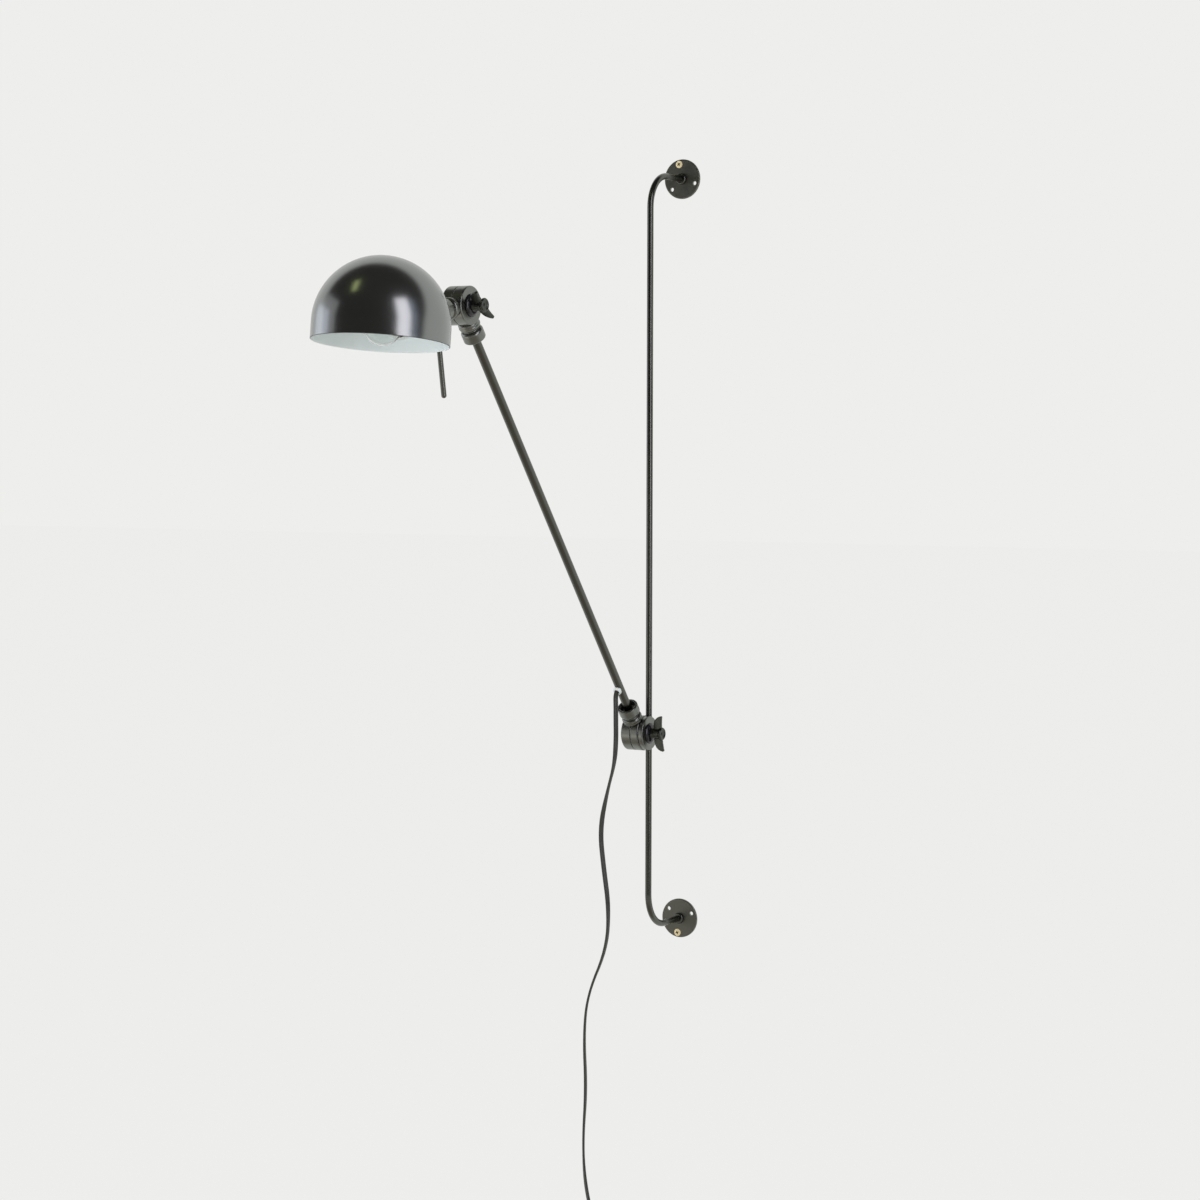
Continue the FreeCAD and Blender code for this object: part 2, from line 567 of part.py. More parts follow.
def main():
    save("wall_rod", wall_rod())
    save("upper_flange", flange(RAIL_SPAN, HOLE_TURN["upper"]))
    save("lower_flange", flange(0.0, HOLE_TURN["lower"]))
    save("root_collars", root_collar(RAIL_SPAN), root_collar(0.0))

    stack = PLATE_IN + PLATE_T
    left = SEAM_X - HALF - DRUM_HALF - FACE_GAP
    save("clamp_casting", clamp_casting())
    save("clamp_plate", clamp_plate())
    save("clamp_liner", clamp_liner())
    disc = friction_disc()
    disc.translate(LOWER + X * FACE_GAP)
    save("lower_friction_disc", disc)
    save("lower_pivot_bolt", pivot_bolt_at(LOWER, left, stack + CUP_T + FACE_GAP + NUT_GRIP))
    save("lower_cup_washer", moved_to(cup_washer(), V(stack, LOWER.y, LOWER.z)))
    nut_x = stack + CUP_T + FACE_GAP
    save("lower_wing_nut", turned_about(wing_nut(), V(nut_x, LOWER.y, LOWER.z), LOWER_NUT_TURN))

    save("lower_knuckle", about_x(knuckle(-1), LOWER, ARM_DIR))
    save("arm_tube", arm_tube())
    save("upper_knuckle", about_x(knuckle(1), UPPER, -ARM_DIR))
    save("arm_set_screws", set_screw(LOWER, ARM_DIR, -X), set_screw(UPPER, -ARM_DIR, X))
    save("cord_bushing", cord_bushing())
    save("arm_lead", arm_lead())

    right = SEAM_X + HALF + DRUM_HALF
    save("shade_knuckle", about_x(knuckle(-1), UPPER, STEM_DIR))
    disc = friction_disc()
    disc.translate(UPPER)
    save("upper_friction_disc", disc)
    nut_x = right + CUP_T + 2 * FACE_GAP
    save("upper_pivot_bolt", pivot_bolt_at(UPPER, left + FACE_GAP, nut_x + NUT_GRIP))
    save("upper_cup_washer", moved_to(cup_washer(), V(right + FACE_GAP, UPPER.y, UPPER.z)))
    save("upper_wing_nut", turned_about(wing_nut(), V(nut_x, UPPER.y, UPPER.z), UPPER_NUT_TURN))
    save("stem_tube", stem_tube())
    save("stem_set_screw", set_screw(UPPER, STEM_DIR, -X))
    save("stem_collars", *stem_collars())
    save("handle_block", handle_block())
    save("handle_rod", handle_rod())
    save("shade_shell", shade_shell())
    holder_at = UPPER + STEM_DIR * (STEM_REACH - SHADE_R + SHADE_T + 4.8)
    names = ("lampholder_cap", "lampholder_body", "lampholder_insert", "screw_shell", "centre_contact")
    for name, shape in zip(names, lampholder_parts()):
        save(name, stood(shape, holder_at, STEM_DIR))
    for name, shape in zip(("bulb_cap", "bulb_glass"), bulb_parts()):
        save(name, stood(shape, holder_at, STEM_DIR))
    rest = V(0, math.sin(DROP), -math.cos(DROP)) * (STEM_BORE - LEAD_R - 0.02)
    save("stem_lead", rod(UPPER + STEM_DIR * (NECK_SEAT + 2) + rest, STEM_DIR, LEAD_R, STEM_END - NECK_SEAT - 4))

    save("cord_drop", cord_drop())
    save("cord_coil", cord_coil())
    save("cord_tail", cord_tail())
    save("coil_tie", coil_tie())
    body, pins = plug_parts()
    save("plug_body", body)
    save("plug_pins", *pins)


main()
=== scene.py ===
"""Looks of an articulating wall lamp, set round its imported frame, in metres and in the frame's axes."""
import json
import math

import bmesh
import bpy
from mathutils import Matrix, Vector


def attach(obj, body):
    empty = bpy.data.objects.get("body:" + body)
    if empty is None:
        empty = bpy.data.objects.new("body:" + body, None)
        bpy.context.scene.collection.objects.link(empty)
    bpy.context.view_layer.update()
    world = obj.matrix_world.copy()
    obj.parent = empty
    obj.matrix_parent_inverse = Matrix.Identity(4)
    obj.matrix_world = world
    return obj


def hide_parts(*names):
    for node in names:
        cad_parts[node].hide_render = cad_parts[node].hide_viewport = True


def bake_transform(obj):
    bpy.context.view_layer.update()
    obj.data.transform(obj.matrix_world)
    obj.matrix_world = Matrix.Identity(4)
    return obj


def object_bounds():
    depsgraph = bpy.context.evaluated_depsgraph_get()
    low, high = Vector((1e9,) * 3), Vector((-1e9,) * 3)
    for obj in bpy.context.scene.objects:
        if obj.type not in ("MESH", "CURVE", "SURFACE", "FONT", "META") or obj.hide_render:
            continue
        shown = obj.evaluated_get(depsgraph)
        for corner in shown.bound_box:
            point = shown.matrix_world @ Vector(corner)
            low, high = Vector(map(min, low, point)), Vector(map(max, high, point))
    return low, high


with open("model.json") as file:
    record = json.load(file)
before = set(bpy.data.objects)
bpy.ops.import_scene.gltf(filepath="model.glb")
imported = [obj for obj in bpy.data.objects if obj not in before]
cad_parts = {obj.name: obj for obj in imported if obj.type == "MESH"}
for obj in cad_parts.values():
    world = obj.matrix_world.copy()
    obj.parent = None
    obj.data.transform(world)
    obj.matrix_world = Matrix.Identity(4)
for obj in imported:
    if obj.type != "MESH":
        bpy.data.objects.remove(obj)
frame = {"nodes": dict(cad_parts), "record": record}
cad_low, cad_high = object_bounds()

# ---------------------------------------------------------------- the camera
# It stands to the right of the lamp, a little over its middle, and looks left and slightly down.
YAW, PITCH, ROLL = math.radians(29.641), math.radians(3.306), math.radians(0.117)
FOCAL_PX, FRAME_PX, SENSOR_MM = 2764.5, 1200.0, 36.0
CAMERA_AT = (1.6588, -3.1260, 0.6147)

ahead = Vector((-math.sin(YAW) * math.cos(PITCH), math.cos(YAW) * math.cos(PITCH),
                -math.sin(PITCH)))
level = Vector((math.cos(YAW), math.sin(YAW), 0))
over = level.cross(ahead)
right = level * math.cos(ROLL) + over * math.sin(ROLL)
up = over * math.cos(ROLL) - level * math.sin(ROLL)
camera_data = bpy.data.cameras.new("camera")
camera_data.sensor_width = SENSOR_MM
camera_data.lens = FOCAL_PX * SENSOR_MM / FRAME_PX
camera = bpy.data.objects.new("camera", camera_data)
camera.matrix_world = Matrix((right, up, -ahead)).transposed().to_4x4()
camera.location = CAMERA_AT
bpy.context.scene.collection.objects.link(camera)
bpy.context.scene.camera = camera
bpy.context.scene.view_settings.view_transform = "Standard"

# ---------------------------------------------------------------- the room
# The plate mirrors a pale wall behind it, a dim room in front under a dim ceiling, and a warm floor.
# The eye and the glass see a plain backdrop instead, and matt surfaces get an even soft light.
BACKDROP, WALL_SIDE, ROOM_SIDE, SOFT = "eeeeec", "ecedeb", "3e3d3a", "eceff0"
FLOOR_FAR, FLOOR_NEAR = "d2cfca", "a8a299"
CEILING_SLOPE = 0.55      # how steeply the wall's upper edge is seen, as its distance over its height
WALL_TURN = 0.27          # how much farther back the wall begins on the right than on the left
WALL_BLUR = 0.09          # half the width of the soft edge between the wall and the room
FLOOR_FROM, FLOOR_FULL = -0.1, -0.3       # how far down a look goes where the floor begins and is full
NEAR_FROM, NEAR_FULL = -0.4, -0.75        # the same for the darker floor at one's feet


def linear(code):
    """An sRGB hex colour as linear RGBA."""
    parts = [int(code[i:i + 2], 16) / 255 for i in (0, 2, 4)]
    return [p / 12.92 if p <= 0.04045 else ((p + 0.055) / 1.055) ** 2.4 for p in parts] + [1.0]


def add(tree, kind, values=None, links=None, **settings):
    """A node with its settings, its plain values and what its sockets are linked to."""
    made = tree.nodes.new(kind)
    for name, value in settings.items():
        setattr(made, name, value)
    for socket, value in (values or {}).items():
        made.inputs[socket].default_value = value
    for socket, source in (links or {}).items():
        tree.links.new(source, made.inputs[socket])
    return made


# In a colour mix, socket 0 is the share, 6 and 7 are the two colours, and output 2 is the result.
world = bpy.data.worlds.new("room")
bpy.context.scene.world = world
world.use_nodes = True
tree = world.node_tree
tree.nodes.clear()
look = add(tree, "ShaderNodeTexCoord").outputs["Generated"]
look = add(tree, "ShaderNodeSeparateXYZ", links={0: look})
high = add(tree, "ShaderNodeMath", {1: 0.0}, {0: look.outputs["Z"]}, operation="MAXIMUM")
turned = add(tree, "ShaderNodeMath", {1: -WALL_TURN},
             {0: look.outputs["X"], 2: look.outputs["Y"]}, operation="MULTIPLY_ADD")
reach = add(tree, "ShaderNodeMath", {1: -CEILING_SLOPE},
            {0: high.outputs[0], 2: turned.outputs[0]}, operation="MULTIPLY_ADD")
to_wall = add(tree, "ShaderNodeMapRange", {1: -WALL_BLUR, 2: WALL_BLUR}, {0: reach.outputs[0]},
              interpolation_type="SMOOTHSTEP")
to_floor = add(tree, "ShaderNodeMapRange", {1: FLOOR_FROM, 2: FLOOR_FULL},
               {0: look.outputs["Z"]}, interpolation_type="SMOOTHSTEP")
to_near = add(tree, "ShaderNodeMapRange", {1: NEAR_FROM, 2: NEAR_FULL},
              {0: look.outputs["Z"]}, interpolation_type="SMOOTHSTEP")
ground = add(tree, "ShaderNodeMix", {6: linear(ROOM_SIDE), 7: linear(FLOOR_FAR)},
             {0: to_floor.outputs[0]}, data_type="RGBA")
ground = add(tree, "ShaderNodeMix", {7: linear(FLOOR_NEAR)},
             {0: to_near.outputs[0], 6: ground.outputs[2]}, data_type="RGBA")
mirrored = add(tree, "ShaderNodeMix", {7: linear(WALL_SIDE)},
               {0: to_wall.outputs[0], 6: ground.outputs[2]}, data_type="RGBA")
ray = add(tree, "ShaderNodeLightPath")
lit = add(tree, "ShaderNodeMix", {6: linear(SOFT)},
          {0: ray.outputs["Is Glossy Ray"], 7: mirrored.outputs[2]}, data_type="RGBA")
plain = add(tree, "ShaderNodeMath",
            links={0: ray.outputs["Is Camera Ray"], 1: ray.outputs["Is Transmission Ray"]},
            operation="MAXIMUM")
colour = add(tree, "ShaderNodeMix", {7: linear(BACKDROP)},
             {0: plain.outputs[0], 6: lit.outputs[2]}, data_type="RGBA")
glow = add(tree, "ShaderNodeBackground", {1: 1.0}, {0: colour.outputs[2]})
add(tree, "ShaderNodeOutputWorld", links={0: glow.outputs[0]})

# Most of what the eye sees of the floor is an even pale tone that meets the backdrop, and the rest
# takes the lamp's shadow. The plate doesn't mirror it.
FLOOR_DROP = 0.18         # the floor clears the plug when the clamp stands at its lowest
FLOOR_HALF = 30.0
FLOOR_MATT, FLOOR_EVEN, EVEN_SHARE = "e4e4e1", "f1f1ef", 0.85

floor_paint = bpy.data.materials.new("floor_paint")
floor_paint.use_nodes = True
tree = floor_paint.node_tree
tree.nodes.clear()
matt = add(tree, "ShaderNodeBsdfDiffuse", {"Color": linear(FLOOR_MATT)})
even = add(tree, "ShaderNodeEmission", {"Color": linear(FLOOR_EVEN)})
ray = add(tree, "ShaderNodeLightPath")
share = add(tree, "ShaderNodeMath", {1: EVEN_SHARE}, {0: ray.outputs["Is Camera Ray"]},
            operation="MULTIPLY")
both = add(tree, "ShaderNodeMixShader",
           links={0: share.outputs[0], 1: matt.outputs[0], 2: even.outputs[0]})
add(tree, "ShaderNodeOutputMaterial", links={0: both.outputs[0]})


def show(name, data):
    """An object that carries the mesh, in the scene."""
    made = bpy.data.objects.new(name, data)
    bpy.context.scene.collection.objects.link(made)
    return made


corners = [(x * FLOOR_HALF, y * FLOOR_HALF, cad_low[2] - FLOOR_DROP)
           for x, y in ((-1, -1), (1, -1), (1, 1), (-1, 1))]
floor_mesh = bpy.data.meshes.new("floor")
floor_mesh.from_pydata(corners, [], [(0, 1, 2, 3)])
floor_mesh.materials.append(floor_paint)
floor = show("floor", floor_mesh)
floor.visible_glossy = False

# Soft lamps that only matt surfaces see, and the room's windows, which only the gloss sees.
STEM_REACH, STEM_DROP = 0.1615, math.radians(10)

joint_at = {joint["name"]: Vector(joint["pos_m"])
            for joint in frame["record"]["behaviour"]["joints"] if "pos_m" in joint}
LOWER, UPPER = joint_at["arm_tilt"], joint_at["shade_tilt"]
DOME = UPPER - Vector((0, math.cos(STEM_DROP), math.sin(STEM_DROP))) * STEM_REACH


def lamp(name, azimuth, elevation, far, wide, tall, watts, colour, seen_by, roll=0, at=DOME):
    """An area lamp that faces the shade, or another place, placed in degrees off straight out."""
    a, e = math.radians(azimuth), math.radians(elevation)
    out = Vector((math.sin(a) * math.cos(e), -math.cos(a) * math.cos(e), math.sin(e)))
    data = bpy.data.lights.new(name, "AREA")
    data.shape = "RECTANGLE"
    data.size, data.size_y, data.energy = wide, tall, watts
    data.color = linear(colour)[:3]
    held = show(name, data)
    held.location = at + out * far
    rolled = Matrix.Rotation(math.radians(roll), 3, "Z")
    held.rotation_euler = (out.to_track_quat("Z", "Y").to_matrix() @ rolled).to_euler()
    held.visible_diffuse = seen_by == "matt"
    held.visible_glossy = seen_by == "gloss"


lamp("room_light", 20, 50, 3.2, 3.0, 2.4, 20, "ffffff", "matt")
lamp("floor_glow", -25, -36, 3.0, 3.0, 2.0, 78, "eef3ff", "matt")
lamp("right_window", 72, 12, 2.6, 1.0, 2.9, 27, "f4f1fb", "gloss")
lamp("right_curtain", 89, 10, 2.6, 0.7, 2.6, 3, "b9c8e6", "gloss")
lamp("left_window", -80, 2, 2.6, 1.7, 1.4, 8, "dbe3f8", "gloss")
lamp("left_curtain", -66, 10, 2.6, 1.7, 1.9, 7, "e4e4e8", "gloss")
lamp("garden", -38, 56, 2.6, 0.3, 0.8, 1.5, "cbd795", "gloss", roll=35)
lamp("pale_table", -30, -3, 0.9, 0.5, 0.7, 0.8, "f4f2ee", "gloss", at=LOWER)

# ---------------------------------------------------------------- the wall rail
# Bent steel rod, turned flanges and root collars, plated with black nickel. The rod and the arm's
# tube are polished, and the flanges are left satin from the lathe.
RELIEF_HEIGHT = 0.0002


def mottled(name, dark, light, patch_mm, rough_low, rough_high, wave_mm, bump, edge_mm=0,
            metallic=0.0):
    """Colour and gloss that drift over patches, a fine waviness and, if asked, softened edges."""
    made = bpy.data.materials.new(name)
    made.use_nodes = True
    tree = made.node_tree
    shader = tree.nodes["Principled BSDF"]
    shader.inputs["Metallic"].default_value = metallic
    place = add(tree, "ShaderNodeTexCoord").outputs["Object"]
    patches = add(tree, "ShaderNodeTexNoise", {"Scale": 1000 / patch_mm, "Detail": 4},
                  {"Vector": place})
    tone = add(tree, "ShaderNodeMix", {6: linear(dark), 7: linear(light)},
               {0: patches.outputs[0]}, data_type="RGBA")
    gloss = add(tree, "ShaderNodeMapRange", {1: 0.3, 2: 0.7, 3: rough_low, 4: rough_high},
                {0: patches.outputs[0]})
    waves = add(tree, "ShaderNodeTexNoise", {"Scale": 1000 / wave_mm, "Detail": 2},
                {"Vector": place})
    relief = add(tree, "ShaderNodeBump", {"Strength": bump, "Distance": RELIEF_HEIGHT},
                 {"Height": waves.outputs[0]})
    if edge_mm:
        eased = add(tree, "ShaderNodeBevel", {"Radius": edge_mm / 1000}, samples=8)
        tree.links.new(eased.outputs[0], relief.inputs["Normal"])
    tree.links.new(tone.outputs[2], shader.inputs["Base Color"])
    tree.links.new(gloss.outputs[0], shader.inputs["Roughness"])
    tree.links.new(relief.outputs[0], shader.inputs["Normal"])
    return made


def dress(material, *nodes):
    """Puts a material on solids that are shown as they are."""
    for name in nodes:
        for place in frame["nodes"][name].material_slots:
            place.material = material


# A dark mirror, a little blurred: pale along the edges of a tube and dim down its middle.
tube_plate = mottled("black_nickel_on_steel_tube", "5c5d58", "666761", 25, 0.22, 0.27, 6, 0.015,
                     metallic=1.0)
# The same plate on fine turning marks, which spread the sheen over the whole face.
flange_plate = mottled("satin_black_nickel_on_flanges", "717169", "7e7e75", 12, 0.4, 0.5,
                       1.5, 0.08, metallic=1.0)
dress(tube_plate, "wall_rod", "root_collars", "arm_tube", "stem_tube")
dress(flange_plate, "upper_flange", "lower_flange")

# ---------------------------------------------------------------- the wall screws
# One brass screw in each flange, gone dull, with a low domed head and a cross recess. The other two
# holes are empty and show the wall.
SCREW_PCD_R, FLANGE_T, RAIL_SPAN = 0.019, 0.003, 0.946
HEAD_R, HEAD_RISE, HEAD_EDGE, HEAD_STEPS, SCREW_SIDES = 0.0047, 0.0011, 0.0003, 8, 48
SHANK_R, SHANK_TOP, SHANK_END = 0.0023, -0.0004, -0.0027
CROSS_LONG, CROSS_WIDE, CROSS_DEEP = 0.0045, 0.0013, 0.0009
MERGE = 1e-7

# Dull brass is more film than metal, so it looks pale yellow and hardly mirrors the room.
dull_brass = mottled("dulled_brass", "e2cd98", "f1e2bb", 3, 0.35, 0.45, 0.8, 0.1, metallic=0.3)
# Painted shade: the cross recess is coloured dark brown so that the cross shows dark.
recess_shade = mottled("painted_shade_in_recess", "3a2a12", "54401f", 1, 0.5, 0.6, 0.5, 0.1)


def lathe(mesh, outline, sides, paints=None):
    """Rings about Z through an outline of radii and heights, closed where the radius is nought."""
    rings = []
    for radius, height in outline:
        turns = [2 * math.pi * k / sides for k in range(sides)]
        rings.append([mesh.verts.new((radius * math.cos(a), radius * math.sin(a), height))
                      for a in turns])
    for i, (a, b) in enumerate(zip(rings, rings[1:])):
        for k in range(sides):
            face = mesh.faces.new((a[k], b[k], b[(k + 1) % sides], a[(k + 1) % sides]))
            if paints:
                face.material_index = paints[i + 1]
    bmesh.ops.remove_doubles(mesh, verts=mesh.verts, dist=MERGE)


def drawn(name, mesh, *materials):
    """The built shape as mesh data with its faces turned outward, in the given materials."""
    bmesh.ops.recalc_face_normals(mesh, faces=mesh.faces)
    data = bpy.data.meshes.new(name)
    mesh.to_mesh(data)
    mesh.free()
    for material in materials:
        data.materials.append(material)
    return data


def worked(blank):
    """The mesh that a blank's modifiers leave. The blank is used up."""
    bpy.context.view_layer.update()
    seen = blank.evaluated_get(bpy.context.evaluated_depsgraph_get())
    data = bpy.data.meshes.new_from_object(seen)
    spent = blank.data
    bpy.data.objects.remove(blank)
    bpy.data.meshes.remove(spent)
    return data


def wall_screw(name, height, degrees, turn):
    """A raised countersunk head on a short shank, with a cross driven into it."""
    slices = [i / HEAD_STEPS * math.pi / 2 for i in range(HEAD_STEPS + 1)]
    outline = [(HEAD_R * math.sin(a), HEAD_RISE * math.cos(a)) for a in slices]
    outline += [(HEAD_R - 0.0002, -HEAD_EDGE), (SHANK_R, SHANK_TOP), (SHANK_R, SHANK_END),
                (0.0, SHANK_END)]
    mesh = bmesh.new()
    lathe(mesh, outline, SCREW_SIDES)
    blank = show(name, drawn(name, mesh, dull_brass, recess_shade))
    arms = []
    for long_way, wide in ((CROSS_LONG, CROSS_WIDE), (CROSS_WIDE, CROSS_LONG)):
        mesh = bmesh.new()
        bmesh.ops.create_cube(mesh, size=1, matrix=Matrix.Translation((0, 0, HEAD_RISE))
                              @ Matrix.Diagonal((long_way, wide, 2 * CROSS_DEEP, 1)))
        # The cutters' faces carry the painted shade into the recess that they leave.
        for face in mesh.faces:
            face.material_index = 1
        arm = show("cross_arm", drawn("cross_arm", mesh, dull_brass, recess_shade))
        cut = blank.modifiers.new("cross", "BOOLEAN")
        cut.operation, cut.solver, cut.object = "DIFFERENCE", "EXACT", arm
        arms.append(arm)
    data = worked(blank)
    for arm in arms:
        bpy.data.objects.remove(arm)
    a = math.radians(degrees)
    seat = Vector((SCREW_PCD_R * math.cos(a), -FLANGE_T, height + SCREW_PCD_R * math.sin(a)))
    data.transform(Matrix.Translation(seat) @ Matrix.Rotation(math.radians(90), 4, "X")
                   @ Matrix.Rotation(math.radians(turn), 4, "Z"))
    screw = show(name, data)
    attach(screw, "wall_rail")


wall_screw("upper_wall_screw", RAIL_SPAN, 102, 35)
wall_screw("lower_wall_screw", 0.0, 263, 15)

# ---------------------------------------------------------------- the joint castings
# Zinc castings under the same dark plate, tumbled before plating so that their edges are soft.
# Through bolts and grub screws hold them, and fibre discs sit between them.

# Less even than the tube's plate, and the eased edges blur what the corners mirror.
casting_plate = mottled("black_nickel_on_zinc_casting", "757772", "7f817b", 12, 0.26, 0.32,
                        8, 0.015, edge_mm=1.2, metallic=1.0)
# An oxide film, nearly black, with a satin sheen.
blackened = mottled("blackened_steel", "141414", "20201f", 4, 0.35, 0.5, 1.0, 0.1)
# Warm yellow metal with the streaks of drawing.
brass = mottled("drawn_brass", "b8975a", "d0b27c", 3, 0.25, 0.38, 0.8, 0.15, metallic=1.0)
# Dull red-brown board, whose edge shows as a dark line in the drums.
fibre = mottled("vulcanised_fibre", "2a1712", "3a2018", 2, 0.6, 0.75, 0.6, 0.3)
dress(casting_plate, "clamp_casting", "clamp_plate", "lower_knuckle", "upper_knuckle",
      "shade_knuckle", "stem_collars", "handle_block")
dress(tube_plate, "lower_pivot_bolt", "upper_pivot_bolt")
dress(blackened, "arm_set_screws", "stem_set_screw")
dress(brass, "clamp_liner", "screw_shell", "centre_contact")
dress(fibre, "lower_friction_disc", "upper_friction_disc")

# ---------------------------------------------------------------- the wing nuts
# Cast zinc nuts, each with a ringed hub and two broad petals, plated dark with the joints. The
# casting leaves every corner round, and the petals run into the hub with soft fillets.
# Hub: radius and height in mm. Petal: distance out and height in mm.
HUB = ((0.0, 10.5), (3.05, 10.5), (3.05, 0.0), (7.6, 0.0), (7.0, 1.6), (6.4, 3.0), (6.2, 6.0),
       (6.4, 10.6), (7.6, 11.4), (8.1, 12.6), (8.0, 13.8), (7.2, 14.7), (6.3, 14.9), (5.4, 14.3),
       (4.4, 13.6), (3.2, 13.5), (2.2, 14.0), (1.2, 14.5), (0.0, 14.6))
PETAL = ((4.4, 2.6), (9.0, 2.5), (13.0, 3.0), (16.3, 4.0), (18.6, 5.6), (20.4, 7.6), (21.8, 10.0),
         (22.6, 12.6), (22.5, 14.2), (21.8, 14.8), (19.5, 14.3), (16.0, 13.9), (12.0, 13.5),
         (8.0, 13.2), (4.4, 12.8))
PETAL_LONG, ROOT_HALF, TIP_HALF = 22.6, 1.9, 1.6
CASTING_GRAIN, HUB_SIDES = 0.00035, 40
SHRINK = Matrix.Scale(0.001, 4)                      # millimetres to metres

# Darker than the castings, as cast and plated but not polished.
nut_plate = mottled("dark_plate_on_cast_nut", "474945", "53554f", 6, 0.26, 0.32, 4, 0.02,
                    metallic=1.0)


def petal(mesh, side):
    """One petal: its outline on two faces, thinner towards the tip, closed round its edge."""
    front, back = [], []
    for out, along in PETAL:
        half = ROOT_HALF + (TIP_HALF - ROOT_HALF) * out / PETAL_LONG
        front.append(mesh.verts.new((side * out, half, along)))
        back.append(mesh.verts.new((side * out, -half, along)))
    mesh.faces.new(front)
    mesh.faces.new(back)
    for i, vert in enumerate(front):
        after = (i + 1) % len(front)
        mesh.faces.new((vert, front[after], back[after], back[i]))


def wing_nut(name, node, body, pivot):
    """Hub and petals melted into one casting, turned to where the solid's wings stand."""
    mesh = bmesh.new()
    lathe(mesh, HUB, HUB_SIDES)
    petal(mesh, 1)
    petal(mesh, -1)
    blank = show(name, drawn(name, mesh))
    blank.data.transform(SHRINK)
    melt = blank.modifiers.new("melt", "REMESH")
    melt.mode, melt.voxel_size = "VOXEL", CASTING_GRAIN
    soften = blank.modifiers.new("soften", "SMOOTH")
    soften.factor, soften.iterations = 0.5, 3
    data = worked(blank)
    solid = frame["nodes"][node].data
    off_axis = [Vector((0, v.co.y - pivot.y, v.co.z - pivot.z)) for v in solid.vertices]
    wing = max(off_axis, key=lambda v: v.length).normalized()
    foot = min(v.co.x for v in solid.vertices)
    outward = Vector((1, 0, 0))
    turn = Matrix((wing, outward.cross(wing), outward)).transposed().to_4x4()
    data.transform(Matrix.Translation((foot, pivot.y, pivot.z)) @ turn)
    data.shade_smooth()
    data.materials.clear()
    data.materials.append(nut_plate)
    nut = show(name, data)
    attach(nut, body)
    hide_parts(node)


wing_nut("lower_wing_nut_cast", "lower_wing_nut", "lower_nut", LOWER)
wing_nut("upper_wing_nut_cast", "upper_wing_nut", "upper_nut", UPPER)

# ---------------------------------------------------------------- the cup washers
# Each nut presses on a cup spun from thin steel, open towards the drum, with a rolled rim.
# Radius and height in mm.
CUP = ((3.4, 3.4), (8.4, 3.4), (10.2, 3.1), (11.7, 2.2), (12.6, 1.1), (13.0, 0.55), (12.9, 0.15),
       (12.5, 0.05), (12.0, 0.3), (11.2, 1.3), (10.0, 2.1), (8.4, 2.4), (3.4, 2.4), (3.4, 3.4))
CUP_SIDES = 72

# Polished under its oxide film: nearly black, with one thin bright line where the rim turns.
cup_black = mottled("blackened_steel_polished", "131316", "1b1b1e", 4, 0.15, 0.2, 6, 0.02)


def cup_washer(name, node, body, pivot):
    """The spun cup, seated where the solid washer's foot is."""
    mesh = bmesh.new()
    lathe(mesh, CUP, CUP_SIDES)
    data = drawn(name, mesh, cup_black)
    foot = min(v.co.x for v in frame["nodes"][node].data.vertices)
    turn = Matrix(((0, 1, 0), (0, 0, 1), (1, 0, 0))).transposed().to_4x4()
    data.transform(Matrix.Translation((foot, pivot.y, pivot.z)) @ turn @ SHRINK)
    data.shade_smooth()
    cup = show(name, data)
    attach(cup, body)
    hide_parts(node)


cup_washer("lower_cup_washer_spun", "lower_cup_washer", "clamp", LOWER)
cup_washer("upper_cup_washer_spun", "upper_cup_washer", "shade", UPPER)

# ---------------------------------------------------------------- the shade
# One spun steel dome with a short skirt and a rounded rim, polished and plated dark outside and
# enamelled white inside.
SHADE_R, SHADE_T, SKIRT, SHADE_TILT = 0.075, 0.001, 0.019, math.radians(6.5)
CROWN_STEPS, SKIRT_STEPS, RIM_STEPS, SHADE_SIDES = 36, 4, 8, 144

# The plate at its best: a dark mirror in which the room's windows and the wall show blurred.
shade_plate = mottled("polished_black_nickel", "878988", "8e908e", 60, 0.2, 0.24, 14, 0.015,
                      metallic=1.0)
# A cool white with a soft sheen, sprayed and stoved.
white_inside = mottled("white_enamel_inside", "eaf0ef", "f3f7f6", 30, 0.35, 0.45, 4, 0.05)
# Painted shade: the outer part of the rolled rim is coloured near black, which draws a thin dark line
# round the white.
rim_shade_paint = mottled("painted_shade_on_rim", "151515", "232322", 6, 0.4, 0.5, 1, 0.1)
PLATE, WHITE, RIM = 0, 1, 2


def shade_outline():
    """Radius, height and paint from the crown's outside, over the rim, to the crown's inside."""
    rim, inner = SHADE_T * 0.5, SHADE_R - SHADE_T
    crown = [i / CROWN_STEPS * math.pi / 2 for i in range(CROWN_STEPS + 1)]
    skirt = [-SKIRT * i / SKIRT_STEPS for i in range(1, SKIRT_STEPS)]
    points = [(SHADE_R * math.sin(a), SHADE_R * math.cos(a), PLATE) for a in crown]
    points += [(SHADE_R, height, PLATE) for height in skirt]
    points.append((SHADE_R, rim - SKIRT, PLATE))
    for i in range(1, RIM_STEPS):
        a = math.pi * i / RIM_STEPS
        # The outer part of the rim's roll takes the painted shade, and its last steps turn white.
        paint = RIM if i < RIM_STEPS - 2 else WHITE
        points.append((SHADE_R - rim + rim * math.cos(a), rim - SKIRT - rim * math.sin(a), paint))
    points.append((inner, rim - SKIRT, WHITE))
    points += [(inner, height, WHITE) for height in reversed(skirt)]
    points += [(inner * math.cos(a), inner * math.sin(a), WHITE) for a in crown]
    return points


outline = shade_outline()
mesh = bmesh.new()
lathe(mesh, [point[:2] for point in outline], SHADE_SIDES, [point[2] for point in outline])
data = drawn("shade_shell_spun", mesh, shade_plate, white_inside, rim_shade_paint)
data.transform(Matrix.Translation(DOME) @ Matrix.Rotation(-SHADE_TILT, 4, "X"))
data.shade_smooth()
shade = show("shade_shell_spun", data)
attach(shade, "shade")
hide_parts("shade_shell")

